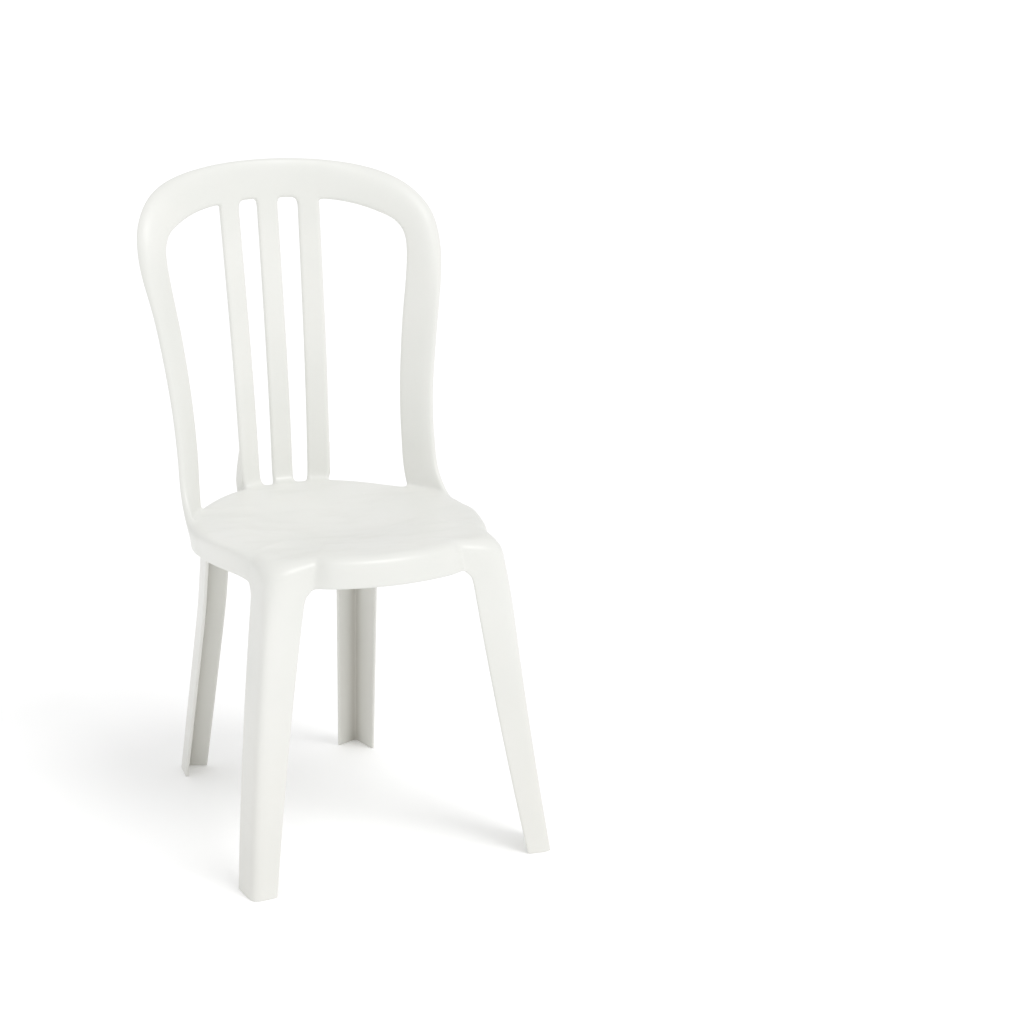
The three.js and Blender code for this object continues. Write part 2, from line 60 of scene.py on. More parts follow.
SEAT_CENTRE = np.array([0.0, -30.0])
RIM_Z = 434  # top of the rim at the sides
REAR_LIFT = 3  # how much higher the rim is under the slats
REAR_LIFT_FADE = (20, 50)  # angles from straight back over which the lift fades out
DISH = 16
DISH_RADIUS = 175
LIFT_RISE = (90, 190)  # distances from the middle over which the seat rises to a lifted rim
SHOULDER_DIP = 0.5  # the shoulder lies this far below the dish's own curve
REAR_RADIUS = 183
REAR_CENTRE_Y = 2
SIDE_BULGE = 15  # how far the sides stand outside the rear radius
BULGE_RISE = (50, 95)  # angles from straight back over which they swing out
FRONT_LIFT = 3
FRONT_RADIUS = 237
FRONT_Y = -250.5
HEM_Z = 396
MID_SKIRT = 0.4  # share of the skirt's height at which its middle row lies
DRAFT = 5
NOTCH = 10  # fillet between the skirt and a leg
NOTCH_DEPTH = 17
# how far in the lip lies, how far down the edge, how far in the shoulder
RIM_ROLL = np.array([10, 8, 27])
EAR_ROLL = np.array([17, 13, 36])
SIDE_ROLL = np.array([6, 5, 22])
EAR_SPREAD = 4.6  # columns to each side of a front leg's corner over which its ear fades out
RING_SHARES = (0.12, 0.3, 0.48, 0.66, 0.82)  # rings between the middle and the rim
RING_CIRCLE = 190  # the inner rings are circles of a share of this radius

# Where the columns of the net cross the rim: x along the front, rim and hem points along the side,
# and behind them angles from straight back.
FRONT_X = (0, 24, 48, 72, 91)
SIDE_PLAN = (
    ((175, -140), (172, -139)),
    ((182, -112), (176, -112)),
    ((190, -80), (184, -80)),
    ((196, -48), (190, -48)),
)
SIDE_ANGLES = (98, 91)
WING_ANGLES = (84, 80.5, 76.5, 70.5, 63.8, 61.6, 60)
WINDOW_ANGLE = 53
REAR_LEG_ANGLES = (46, 43.4, 40.6, 37.6, 34.6, 31.6, 28.6, 25.8, 23.2)
CORNER_COLUMN = 4  # the corner's place among the nine columns of an angle section

FRONT_LEG = dict(
    foot_x=215.5,
    splay=0.1115,
    top_y=-226.8,
    kick=40,
    kick_power=1.9,
    kick_top_z=424,
    front_wall=37,
    front_wall_taper=0.049,
    front_wall_skew=0.12,
    side_wall=57,
    side_wall_taper=0.012,
    corner=12,
    corner_growth=14,
    growth_depth=60,
    corner_drop=4,
)
REAR_LEG = dict(
    foot=np.array([139.5, 269.6]),
    lean=np.array([-0.062, -0.2015]),
    knee_z=270,
    knee_slope=0.55,
    rear_wall=41,
    rear_wall_taper=0.01,
    rear_wall_angle=205,
    side_wall=54.5,
    side_wall_taper=0.024,
    side_wall_angle=279,
    corner=10,
    merge_z=380,
)
LEG_LEVELS = (391, 386, 379, 352, 312, 262, 210, 160, 110, 62, 26, HOLD, 0)

# height, y of the sheet's middle, curl forward per x squared
SHEET = (
    (433, 179.2, 0.0039),
    (530, 184.7, 0.0035),
    (626, 193.6, 0.00315),
    (722, 205.2, 0.00274),
    (818, 217.3, 0.00228),
    (892, 226.7, 0.00195),
)
HOOP_LINE = (
    (0, 863),
    (60, 861),
    (108, 855.5),
    (150, 842.5),
    (179, 822.5),
    (190.5, 794),
    (191, 765),
    (186, 722),
    (178.5, 674),
    (172.4, 626),
    (167.6, 578),
    (165.1, 530),
    (164.8, 500),
)
CROWN_HALF_WIDTH = 27
SIDE_HALF_WIDTH = 17.6
FOOT_HALF_WIDTH = 15.9
TAPER_Z = (785, 845)
FOOT_TAPER_Z = (530, 700)
EAR_TOP = (845, 865)
EAR_FOOT = (700, 790)
EAR = np.array([4.5, 9.5, 0])
CORNER_Z = 785  # the upright begins below this height
CROWN_Z = 840  # above this height each x lies on the centreline once
SIDE_STATIONS = 20
STATION_CROWDING = 0.92  # below 1 the stations lie closer together towards the foot
ALONG_REACH = 4  # half the length over which the hoop's direction is measured
LEAN_REACH = 8  # half the height over which the sheet's lean is measured
WING_BEND = 0.7
WING_RECESS = 2
WING_SHARES = (0.2, 0.42, 0.64, 0.84)
# across the band, set-back of the front face, depth of the back face, share of the ear
HOOP_SECTION = (
    (0, 1.2, 9, 0),
    (0.1, 0.2, 9, 0),
    (0.17, 0, 5, 0),
    (0.47, 0, 5, 0),
    (0.74, 0.8, 5.8, 0.2),
    (0.9, 2.6, 10.5, 0.6),
    (1, 5.2, 12.5, 1),
)
SLAT_SECTION = (
    (0, 1, 7.5),
    (0.15, 0.1, 7.5),
    (0.25, 0, 4.8),
    (0.75, 0, 4.8),
    (0.85, 0.1, 7.5),
    (1, 1, 7.5),
)
SLAT_HALF_WIDTH = 15
SLAT_INNER_ROOT = 35
SLAT_INNER_TOP = 43
SLAT_WIDTH = 29.5
SLAT_FLARE = 2
GAP_CORNER_REACH = 8  # the gap's top is straight beyond this distance from a slat
SLAT_LEVELS = (828, 818, 800, 775, 730, 680, 630, 580, 530, 490, 466, 446)
# height or row of the skirt, depth of the web; it starts inside the slat
GUSSET = (
    ("z", 490, -1),
    ("z", 466, 6),
    ("z", 446, 10),
    ("skirt", 0, 12),
    ("skirt", 1, 7),
    ("skirt", 2, 0.8),
)
GUSSET_SINK = 3  # how deep it is let into the slat and the skirt
GUSSET_BEVEL = 0.7


def smoothstep(value, low, high):
    t = min(max((value - low) / (high - low), 0.0), 1.0)
    return t * t * (3 - 2 * t)


def lerp(a, b, t):
    return a + (b - a) * t


# ---------------------------------------------------------------- the control net

faces_of = []  # front or outer point of each pair
backs_of = []  # rear or inner point of each pair, None until the wall's thickness is given
cells = []  # (region, pair indices, anticlockwise seen from the front or outer side)


def add_pair(face, back=None):
    faces_of.append(np.array(face, float))
    backs_of.append(None if back is None else np.array(back, float))
    return len(faces_of) - 1


def add_cell(region, *corners):
    cells.append((region, corners))


def polar(angle, radius):
    a = math.radians(angle)
    return np.array([math.sin(a) * radius, REAR_CENTRE_Y + math.cos(a) * radius])


def rim_radius(angle):
    return REAR_RADIUS + SIDE_BULGE * smoothstep(angle, *BULGE_RISE)


def rim_angle(x):
    return math.degrees(math.asin(x / REAR_RADIUS))


def rear_rim_z(angle):
    return RIM_Z + REAR_LIFT * (1 - smoothstep(angle, *REAR_LIFT_FADE))


def front_arc(x):
    return np.array([x, FRONT_Y + FRONT_RADIUS - math.sqrt(FRONT_RADIUS**2 - x**2)])


def notch_fillet(z):
    """Extra width of a leg's walls near the hem, where a fillet joins them to the skirt."""
    fallen = smoothstep(HEM_Z - z, 0, NOTCH_DEPTH)
    return NOTCH * (1 - math.sin(math.pi / 2 * fallen))


def angle_section(corner, to_a, length_a, to_b, length_b, radius):
    """Plan of an angle section, from the free edge of wall A round the corner to that of wall B."""
    inward = (to_a + to_b) * radius * (1 - math.sqrt(0.5))
    arm_a = (length_a, length_a - HOLD, (length_a + radius) / 2, radius)
    arm_b = (radius, (length_b + radius) / 2, length_b - HOLD, length_b)
    side_a = [corner + to_a * d for d in arm_a]
    side_b = [corner + to_b * d for d in arm_b]
    return [*side_a, corner + inward, *side_b]


def front_leg_plan(z):
    g = FRONT_LEG
    fillet = notch_fillet(z)
    fall = max(0.0, 1 - z / g["kick_top_z"])
    kick = g["kick"] * fall ** g["kick_power"]
    corner = np.array([g["foot_x"] - g["splay"] * z, g["top_y"] - kick])
    inwards = np.array([-1.0, g["front_wall_skew"]])
    inwards /= np.linalg.norm(inwards)
    front = g["front_wall"] + g["front_wall_taper"] * z + fillet
    side = g["side_wall"] + g["side_wall_taper"] * z + fillet
    radius = g["corner"] + g["corner_growth"] * smoothstep(z, HEM_Z - g["growth_depth"], RIM_Z)
    return angle_section(corner, inwards, front, np.array([0.0, 1.0]), side, radius)


def heading(angle):
    return np.array([math.cos(math.radians(angle)), math.sin(math.radians(angle))])


def rear_leg_plan(z):
    g = REAR_LEG
    fillet = notch_fillet(z)
    side = g["side_wall"] + g["side_wall_taper"] * z + fillet
    climbed = min(z, g["knee_z"]) + g["knee_slope"] * max(0, z - g["knee_z"])
    return angle_section(
        g["foot"] + g["lean"] * climbed,
        heading(g["side_wall_angle"]),
        side,
        heading(g["rear_wall_angle"]),
        g["rear_wall"] + g["rear_wall_taper"] * z + fillet,
        g["corner"],
    )


class Column:
    """One line of the net, from the middle of the seat over the rim and down the skirt or a leg."""

    def __init__(self, name, rim, plan, rim_z=RIM_Z, angle=None, side=1, roll=RIM_ROLL):
        self.name = name
        self.rim = rim
        self.plan = plan
        self.rim_z = rim_z
        self.angle = angle
        self.side = side
        self.roll = roll

    def mirrored(self):
        flip = np.array([-1.0, 1.0])

        def plan(z):
            return self.plan(z) * flip

        return Column(self.name, self.rim * flip, plan, self.rim_z, self.angle, -1, self.roll)


def skirt_column(name, rim, hem, rim_z=RIM_Z, angle=None, roll=RIM_ROLL):
    def plan(z):
        return lerp(rim, hem, smoothstep(RIM_Z - z, 0, RIM_Z - HEM_Z))

    return Column(name, rim, plan, rim_z, angle, roll=roll)


def rear_skirt_column(name, angle):
    radius = rim_radius(angle)
    return skirt_column(
        name, polar(angle, radius), polar(angle, radius - DRAFT), rear_rim_z(angle), angle
    )


def front_leg_column(i, rim):
    nearness = math.cos((i - CORNER_COLUMN) / EAR_SPREAD * math.pi / 2) ** 2  # 1 at the corner

    def plan(z):
        return front_leg_plan(z)[i]

    rim_z = RIM_Z + FRONT_LIFT - FRONT_LEG["corner_drop"] * nearness
    return Column("front_leg", rim, plan, rim_z, roll=lerp(RIM_ROLL, EAR_ROLL, nearness))


def rear_leg_column(i, angle):
    rim = polar(angle, REAR_RADIUS)

    def plan(z):
        merged = smoothstep(RIM_Z - z, 0, RIM_Z - REAR_LEG["merge_z"])
        return lerp(rim, rear_leg_plan(z)[i], merged)

    return Column("rear_leg", rim, plan, rear_rim_z(angle))


def half_columns():
    """The right-hand half of the seat's edge, from the front middle to the back."""
    front = [front_arc(x) for x in FRONT_X]
    made = [skirt_column("front", rim, rim, RIM_Z + FRONT_LIFT) for rim in front]
    made += [front_leg_column(i, rim) for i, rim in enumerate(front_leg_plan(RIM_Z))]
    for rim, hem in np.array(SIDE_PLAN, float):
        made.append(skirt_column("side", rim, hem, roll=SIDE_ROLL))
    made += [rear_skirt_column("side", a) for a in SIDE_ANGLES]
    made += [rear_skirt_column("wing", a) for a in WING_ANGLES]
    made.append(rear_skirt_column("side", WINDOW_ANGLE))
    made += [rear_leg_column(i, angle) for i, angle in enumerate(REAR_LEG_ANGLES)]
    for across, _, _ in reversed(SLAT_SECTION):
        angle = rim_angle(SLAT_INNER_ROOT + across * SLAT_WIDTH)
        made.append(rear_skirt_column("outer_slat", angle))
    made.append(rear_skirt_column("rear", rim_angle((SLAT_INNER_ROOT + SLAT_HALF_WIDTH) / 2)))
    for across, _, _ in reversed(SLAT_SECTION[3:]):
        angle = rim_angle((across - 0.5) * 2 * SLAT_HALF_WIDTH)
        made.append(rear_skirt_column("centre_slat", angle))
    return made


right_half = half_columns()
columns = right_half + [c.mirrored() for c in reversed(right_half[1:])]


def dish_z(distance, rim_z):
    share = min(distance / DISH_RADIUS, 1)
    hollow = DISH * 0.5 * (1 + math.cos(math.pi * share))
    return lerp(RIM_Z, rim_z, smoothstep(distance, *LIFT_RISE)) - hollow


def towards_middle(plan, distance):
    inward = SEAT_CENTRE - plan
    return plan + inward * distance / np.linalg.norm(inward)


def seat_row(col):
    lip_inset, _, shoulder_inset = col.roll
    shoulder = towards_middle(col.rim, shoulder_inset)
    spoke = shoulder - SEAT_CENTRE
    reach = np.linalg.norm(spoke)
    row = []
    for share in RING_SHARES:
        radius = lerp(RING_CIRCLE * share, reach * share, share**3)
        at = SEAT_CENTRE + spoke * radius / reach
        row.append((*at, dish_z(radius, col.rim_z)))
    row.append((*shoulder, dish_z(reach, col.rim_z) - SHOULDER_DIP))
    row.append((*towards_middle(col.rim, lip_inset), col.rim_z))
    return row


def wall_row(col):
    top = col.rim_z - col.roll[1]
    levels = [top, lerp(top, HEM_Z, MID_SKIRT), HEM_Z + HOLD, HEM_Z]
    if col.name.endswith("leg"):
        levels += LEG_LEVELS
    return [(*(col.plan(z) if i else col.rim), z) for i, z in enumerate(levels)]


LIP_ROW = len(RING_SHARES) + 2
EDGE_ROW = LIP_ROW + 1
HEM_ROW = EDGE_ROW + 3

middle = add_pair((*SEAT_CENTRE, dish_z(0, RIM_Z)))
grid = [[middle] + [add_pair(p) for p in seat_row(c) + wall_row(c)] for c in columns]


def wall_region(a, b):
    """The region a wall cell belongs to, from the columns on its two sides."""
    side = "left" if min(a.side, b.side) < 0 else "right"
    for leg in ("front_leg", "rear_leg"):
        if a.name == b.name == leg:
            return f"leg_{leg[:-4]}_{side}"
    names = {a.name, b.name}
    if "front" in names:
        return "skirt_front"
    if names & {"side", "wing"}:
        return f"skirt_{side}"
    return "skirt_rear"


def carries(a, b):
    """Whether a slat or a wing stands on the rim between two columns."""
    return a.name == b.name and a.name in ("wing", "outer_slat", "centre_slat")


def lay_seat_and_walls():
    for i, a in enumerate(columns):
        k = (i + 1) % len(columns)
        b = columns[k]
        region = wall_region(a, b)
        left, right = grid[i], grid[k]
        rows = min(len(left), len(right)) - 1
        last = rows if region.startswith("leg") else HEM_ROW
        add_cell("seat_panel", left[1], right[1], middle)
        for r in range(1, last):
            if r == LIP_ROW and carries(a, b):
                continue
            part = "seat_panel" if r < EDGE_ROW else region
            add_cell(part, left[r], left[r + 1], right[r + 1], right[r])


lay_seat_and_walls()


# ---------------------------------------------------------------- the back's curved sheet


def sheet_at(x, z):
    """y of the sheet and its slope along x, smooth between the heights of SHEET."""
    y = np.interp(z, sheet_z, sheet_y)
    curl = np.interp(z, sheet_z, sheet_curl)
    return y - curl * x * x, 2 * curl * x


def smooth_table(table, steps=12):
    """Catmull-Rom points through a table's rows."""
    rows = np.array(table, float)
    padded = np.vstack([2 * rows[0] - rows[1], rows, 2 * rows[-1] - rows[-2]])
    made = []
    for a, b, c, d in zip(padded, padded[1:], padded[2:], padded[3:]):
        square = 2 * a - 5 * b + 4 * c - d
        cube = 3 * b - a - 3 * c + d
        for t in np.arange(steps) / steps:
            made.append(0.5 * (2 * b + (c - a) * t + square * t**2 + cube * t**3))
    return np.array([*made, rows[-1]])


sheet_z, sheet_y, sheet_curl = smooth_table(SHEET).T


def on_sheet(x, z, distance):
    y, slope = sheet_at(x, z)
    rise = sheet_at(x, z + LEAN_REACH)[0] - sheet_at(x, z - LEAN_REACH)[0]
    lean = rise / (2 * LEAN_REACH)
    backwards = np.array([slope, 1, -lean])
    return np.array([x, y, z]) + backwards / np.linalg.norm(backwards) * distance


def sheet_pair(x, z, set_back, depth):
    return add_pair(on_sheet(x, z, set_back), on_sheet(x, z, depth))


FLIP = np.array([-1.0, 1.0, 1.0])
rooted = {}  # pairs that stand on the rim: pair -> (pair at the lip, pair at the edge)


def mirror_pair(i):
    return add_pair(faces_of[i] * FLIP, backs_of[i] * FLIP)


def rim_footing(chosen):
    """Pairs standing on the rolled rim, one for each seat column chosen."""
    row = []
    for k in chosen:
        lip, edge = grid[k][LIP_ROW], grid[k][EDGE_ROW]
        row.append(add_pair(faces_of[lip], faces_of[edge]))
        rooted[row[-1]] = (lip, edge)
    return row


def columns_named(name, side):
    return [k for k, c in enumerate(columns) if c.name == name and c.side == side]


# ---------------------------------------------------------------- hoop

hoop_points = smooth_table([(-x, z) for x, z in reversed(HOOP_LINE[1:])] + list(HOOP_LINE))
hoop_lengths = np.concatenate([[0], np.cumsum(np.linalg.norm(np.diff(hoop_points, axis=0), axis=1))])
HOOP_LENGTH = hoop_lengths[-1]


def hoop_at(s):
    """Point of the centreline at a distance along it, and its direction there."""
    def point(d):
        return np.array([np.interp(d, hoop_lengths, hoop_points[:, k]) for k in (0, 1)])

    along = point(min(s + ALONG_REACH, HOOP_LENGTH)) - point(s - ALONG_REACH)
    return point(s), along / np.linalg.norm(along)


def hoop_station(s, region, slat=None):
    """A row of pairs across the hoop, from the window edge to the outer edge."""
    at, along = hoop_at(s)
    side = lerp(FOOT_HALF_WIDTH, SIDE_HALF_WIDTH, smoothstep(at[1], *FOOT_TAPER_Z))
    half = lerp(side, CROWN_HALF_WIDTH, smoothstep(at[1], *TAPER_Z))
    ear = smoothstep(at[1], *EAR_FOOT) * (1 - smoothstep(at[1], *EAR_TOP)) * EAR
    row = []
    for j, (across, set_back, depth, ear_share) in enumerate(HOOP_SECTION):
        off = (across - 0.5) * 2 * half
        flush = 0 if slat and j == 0 else set_back
        pair = sheet_pair(at[0] - along[1] * off, at[1] + along[0] * off, flush, depth)
        faces_of[pair] += ear * ear_share
        backs_of[pair] += ear * ear_share
        row.append(pair)
    return row, region, slat


def crown_distance(x):
    """Distance along the centreline at which the crown passes x."""
    crown = hoop_points[:, 1] > CROWN_Z
    return float(np.interp(x, hoop_points[crown, 0], hoop_lengths[crown]))


def slat_x(slat, across, z):
    if slat == "centre":
        return (across - 0.5) * 2 * SLAT_HALF_WIDTH
    share = (z - SLAT_LEVELS[-1]) / (SLAT_LEVELS[0] - SLAT_LEVELS[-1])
    return lerp(SLAT_INNER_ROOT, SLAT_INNER_TOP, share) + across * SLAT_WIDTH


def wing_pair(above, below, t):
    """Between the upright and the rim the wing sweeps down and forward like a fillet."""
    made = []
    for points in (faces_of, backs_of):
        start, end = points[above], points[below]
        bend = np.array([start[0], start[1] - WING_RECESS, lerp(start[2], end[2], WING_BEND)])
        made.append((1 - t) ** 2 * start + 2 * t * (1 - t) * bend + t * t * end)
    return add_pair(*made)


def crown_columns(slat, section):
    """Where a slat's columns meet the crown: its outermost ones flare a little."""
    flare = {0: -SLAT_FLARE, 1: SLAT_FLARE}
    return [(slat, slat_x(slat, a, SLAT_LEVELS[0]) + flare.get(a, 0)) for a, _, _ in section]


def half_hoop():
    """The right-hand half of the hoop, from the crown down to the rim of the seat."""
    centre = crown_columns("centre", SLAT_SECTION[3:])
    outer = crown_columns("right", SLAT_SECTION)
    gap_top = [(None, centre[-1][1] + GAP_CORNER_REACH), (None, outer[0][1] - GAP_CORNER_REACH)]
    crown = [*centre, *gap_top, *outer]
    made = [hoop_station(crown_distance(x), "hoop_crown", slat) for slat, x in crown]
    start = crown_distance(outer[-1][1])
    for i in range(1, SIDE_STATIONS + 1):
        s = lerp(start, HOOP_LENGTH, (i / SIDE_STATIONS) ** STATION_CROWDING)
        region = "hoop_corner_right" if hoop_at(s)[0][1] > CORNER_Z else "upright_right"
        made.append(hoop_station(s, region))
    top = made[-1][0]
    root = rim_footing(columns_named("wing", 1)[::-1])
    for t in WING_SHARES:
        made.append(([wing_pair(a, b, t) for a, b in zip(top, root)], "wing_right", None))
    made.append((root, "wing_right", None))
    return made


def left_name(name):
    return re.sub("right$", "left", name) if name else name


def mirror_station(station):
    row, region, slat = station
    return [mirror_pair(i) for i in row], left_name(region), left_name(slat)


def lay_hoop():
    right = half_hoop()
    left = [mirror_station(s) for s in right]
    root = rim_footing(columns_named("wing", -1))
    left[-1] = (root, "wing_left", None)
    stations = left[::-1] + right
    for i in range(1, len(stations)):
        a, b = stations[i - 1], stations[i]
        region = a[1] if i <= len(left) else b[1]
        for j in range(1, len(HOOP_SECTION)):
            add_cell(region, a[0][j - 1], b[0][j - 1], b[0][j], a[0][j])
    return stations


stations = lay_hoop()


# ---------------------------------------------------------------- slats


def slat_rows(slat):
    top_row = [row[0] for row, _, carried in stations if carried == slat]
    rows = [top_row]
    for z in SLAT_LEVELS:
        row = [sheet_pair(slat_x(slat, a, z), z, s, d) for a, s, d in SLAT_SECTION]
        rows.append([mirror_pair(i) for i in row][::-1] if slat == "left" else row)
    if slat == "centre":
        roots = columns_named("centre_slat", 1) + columns_named("centre_slat", -1)
    else:
        roots = columns_named("outer_slat", -1 if slat == "left" else 1)
    rows.append(rim_footing(roots[::-1]))
    return rows


def lay_rows(region, rows):
    for above, below in zip(rows, rows[1:]):
        for j in range(1, len(below)):
            add_cell(region, above[j - 1], below[j - 1], below[j], above[j])


for slat in ("left", "centre", "right"):
    lay_rows(f"slat_{slat}", slat_rows(slat))


# ---------------------------------------------------------------- wall thickness


def give_thickness():
    """Sets the inner points of the seat, skirt and legs one wall in. Feet are cut flat."""
    normals = {}
    for _, corners in cells:
        a, b, c = (faces_of[i] for i in corners[:3])
        d = faces_of[corners[3]] if len(corners) > 3 else a
        n = np.cross(c - a, d - b)
        n /= np.linalg.norm(n)
        for i in corners:
            normals[i] = normals.get(i, 0) + n
    for i, n in normals.items():
        if backs_of[i] is None:
            if faces_of[i][2] == 0:
                n[2] = 0
            backs_of[i] = faces_of[i] - n / np.linalg.norm(n) * WALL


def lay_under_footings():
    """Where a slat or a wing stands on the rim, the seat has only its underside."""
    first = len(cells)
    for i, a in enumerate(columns):
        k = (i + 1) % len(columns)
        if carries(a, columns[k]):
            left, right = grid[i], grid[k]
            add_cell("seat_panel", left[LIP_ROW], left[EDGE_ROW], right[EDGE_ROW], right[LIP_ROW])
    return range(first, len(cells))


footings = lay_under_footings()
give_thickness()


# ---------------------------------------------------------------- from the net to one smooth skin

FRONT, BACK, RIM = 0, 1, 2  # which side of a cell a face of the skin comes from


def skin_net():
    """The closed control mesh: (points, faces), each face (vertex indices, cell, side of the wall)."""
    count = len(faces_of)
    points = [*faces_of, *backs_of]
    front = {i: i for i in range(count)}
    back = {i: i + count for i in range(count)}
    for i, (lip, edge) in rooted.items():
        front[i] = lip
        back[i] = edge
    faces = []
    open_edges = {}
    for c, (_, corners) in enumerate(cells):
        if c not in footings:
            faces.append(([front[i] for i in corners], c, FRONT))
        faces.append(([back[i] for i in reversed(corners)], c, BACK))
        for k, i in enumerate(corners):
            j = corners[(k + 1) % len(corners)]
            if open_edges.pop((j, i), None) is None:
                open_edges[i, j] = c
    for (i, j), c in open_edges.items():
        if not (i in rooted and j in rooted):
            faces.append(([front[j], front[i], back[i], back[j]], c, RIM))
    return points, faces


def corner_places(size, side):
    """Where a face's corners lie in its cell's own square, to match both sides of the wall."""
    if size == 3:
        places = [(0.0, 0.0), (1.0, 0.0), (0.5, 1.0)]
    else:
        places = [(0.0, 0.0), (1.0, 0.0), (1.0, 1.0), (0.0, 1.0)]
    return places[::-1] if side == BACK else places


def smooth_skin():
    points, faces = skin_net()
    used = sorted({v for verts, _, _ in faces for v in verts})
    renumber = {v: n for n, v in enumerate(used)}
    mesh = bpy.data.meshes.new("net")
    mesh.from_pydata([points[v] * MM for v in used], [], [[renumber[v] for v in f[0]] for f in faces])
    mesh.attributes.new("cell", "INT", "FACE").data.foreach_set("value", [f[1] for f in faces])
    mesh.attributes.new("side", "INT", "FACE").data.foreach_set("value", [f[2] for f in faces])
    places = mesh.uv_layers.new(name="place")
    places.uv.foreach_set("vector", [u for f in faces for p in corner_places(len(f[0]), f[2]) for u in p])
    crease = mesh.attributes.new("crease_edge", "FLOAT", "EDGE")
    foot = [all(mesh.vertices[v].co.z < 1e-5 for v in e.vertices) for e in mesh.edges]
    crease.data.foreach_set("value", [FOOT_CREASE if f else 0.0 for f in foot])
    net = bpy.data.objects.new("net", mesh)
    bpy.context.scene.collection.objects.link(net)
    smoother = net.modifiers.new("smooth", "SUBSURF")
    smoother.levels = LEVELS
    smoother.uv_smooth = "NONE"
    graph = bpy.context.evaluated_depsgraph_get()
    fine = bpy.data.meshes.new_from_object(net.evaluated_get(graph), depsgraph=graph)
    bpy.data.objects.remove(net)
    return fine


def read(collection, name, width, kind=float):
    values = np.empty(len(collection) * width, kind)
    collection.foreach_get(name, values)
    return values.reshape(-1, width) if width > 1 else values


class Skin:
    """The smooth skin as arrays, with a way to find the same place on both sides of the wall."""

    def __init__(self, mesh):
        self.points = read(mesh.vertices, "co", 3)
        self.normals = read(mesh.vertices, "normal", 3)
        self.quads = read(mesh.loops, "vertex_index", 1, np.int32).reshape(-1, 4)
        self.cell = read(mesh.attributes["cell"].data, "value", 1, np.int32)
        self.side = read(mesh.attributes["side"].data, "value", 1, np.int32)
        places = read(mesh.uv_layers["place"].uv, "vector", 2).reshape(-1, 4, 2)
        steps = np.rint(places * 2**LEVELS).astype(int)
        self.at = {}
        for q in np.nonzero(self.side != RIM)[0]:
            for v, (a, b) in zip(self.quads[q], steps[q]):
                self.at[self.cell[q], self.side[q], a, b] = int(v)

    def edge(self, i, j, side):
        """Vertices along the edge from pair i to pair j, on one side of the wall."""
        if (i, j) not in cell_edges or (cell_edges[i, j][0] in footings and side == FRONT):
            return self.edge(j, i, side)[::-1]
        n = 2**LEVELS
        cell, corner = cell_edges[i, j]
        ends = [(0, 0), (n, 0), (n, n), (0, n)]
        (a, b), (c, d) = ends[corner], ends[(corner + 1) % 4]
        return [self.at[cell, side, a + (c - a) * t // n, b + (d - b) * t // n] for t in range(n + 1)]


cell_edges = {
    (i, corners[(k + 1) % len(corners)]): (c, k)
    for c, (_, corners) in enumerate(cells)
    for k, i in enumerate(corners)
}
region_of_cell = np.array([region for region, _ in cells])
fine_mesh = smooth_skin()
skin = Skin(fine_mesh)


def joint_walls(name):
    """Inner walls that close a region where it meets its neighbours."""
    walls = []
    for (i, j), (c, _) in cell_edges.items():
        twin = cell_edges.get((j, i))
        own = region_of_cell[c] == name
        footed = twin is None and i in rooted and j in rooted
        meets = twin is not None and own and region_of_cell[twin[0]] != name
        if not (meets or (footed and (own or name == "seat_panel"))):
            continue
        front, back = skin.edge(i, j, FRONT), skin.edge(i, j, BACK)
        for t in range(len(front) - 1):
            wall = (front[t + 1], front[t], back[t], back[t + 1])
            walls.append(wall if own else wall[::-1])
    return walls


def fill_slivers(mesh):
    work = bmesh.new()
    work.from_mesh(mesh)
    bmesh.ops.holes_fill(work, edges=[e for e in work.edges if e.is_boundary], sides=0)
    work.to_mesh(mesh)
    work.free()


FLAT_ABOVE = math.cos(math.radians(32))  # a corner turned further than this from its face is a crisp one


def set_normals(mesh, outer, vertex_normals):
    """Shades the outer faces as parts of the whole skin, and the inner walls flat."""
    mesh.shade_smooth()
    normals = []
    for face in mesh.polygons:
        for v in face.vertices:
            smooth = vertex_normals[v]
            keep = face.index < outer and face.normal.dot(smooth) > FLAT_ABOVE
            normals.append(smooth if keep else face.normal)
    mesh.normals_split_custom_set(normals)


CORNER_SHADE_COLOUR = (0.33, 0.30, 0.245, 1)
CORNER_SHADE_SHARE = 0.36  # how much of the painted shade's colour shows in the corner itself
INSIDE_SHADE_FILM = 0.08  # and as painted shade on the rest of the leg's inside
CORNER_SHADE_REACH = 10  # how far the corner's painted shade spreads, in millimetres


def corner_shade_at(point):
    """Painted shade in the inner corner of a rear leg: how dark a point of its inside is painted."""
    x, y, z = np.array(point) / MM
    distance = np.linalg.norm(np.array([abs(x), y]) - rear_leg_plan(z)[CORNER_COLUMN])
    return INSIDE_SHADE_FILM + CORNER_SHADE_SHARE * math.exp(-((max(distance - WALL, 0) / CORNER_SHADE_REACH) ** 2))


def region_piece(name):
    here = region_of_cell[skin.cell] == name
    quads = skin.quads[here].tolist()
    inside = set(skin.quads[here & (skin.side == BACK)].ravel().tolist())
    walls = joint_walls(name)
    used = sorted({v for q in (*quads, *walls) for v in q})
    renumber = {v: n for n, v in enumerate(used)}
    mesh = bpy.data.meshes.new(name)
    faces = [[renumber[v] for v in q] for q in (*quads, *walls)]
    mesh.from_pydata([skin.points[v] for v in used], [], faces)
    fill_slivers(mesh)
    set_normals(mesh, len(quads), [Vector(skin.normals[v]) for v in used])
    if name.startswith("leg_rear"):
        # The insides of the rear legs carry painted shade, darkest in the inner corner.
        shade_values = [corner_shade_at(skin.points[v]) if v in inside else 0.0 for v in used]
        mesh.attributes.new("corner_shade", "FLOAT", "POINT").data.foreach_set("value", shade_values)
    return add_piece(f"{name}_resin", mesh, name)


def add_piece(name, mesh, node):
    piece = bpy.data.objects.new(name, mesh)
    bpy.context.scene.collection.objects.link(piece)
    mesh.materials.append(resin)
    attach(piece, "root")
    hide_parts(node)
    return piece


# ---------------------------------------------------------------- gussets


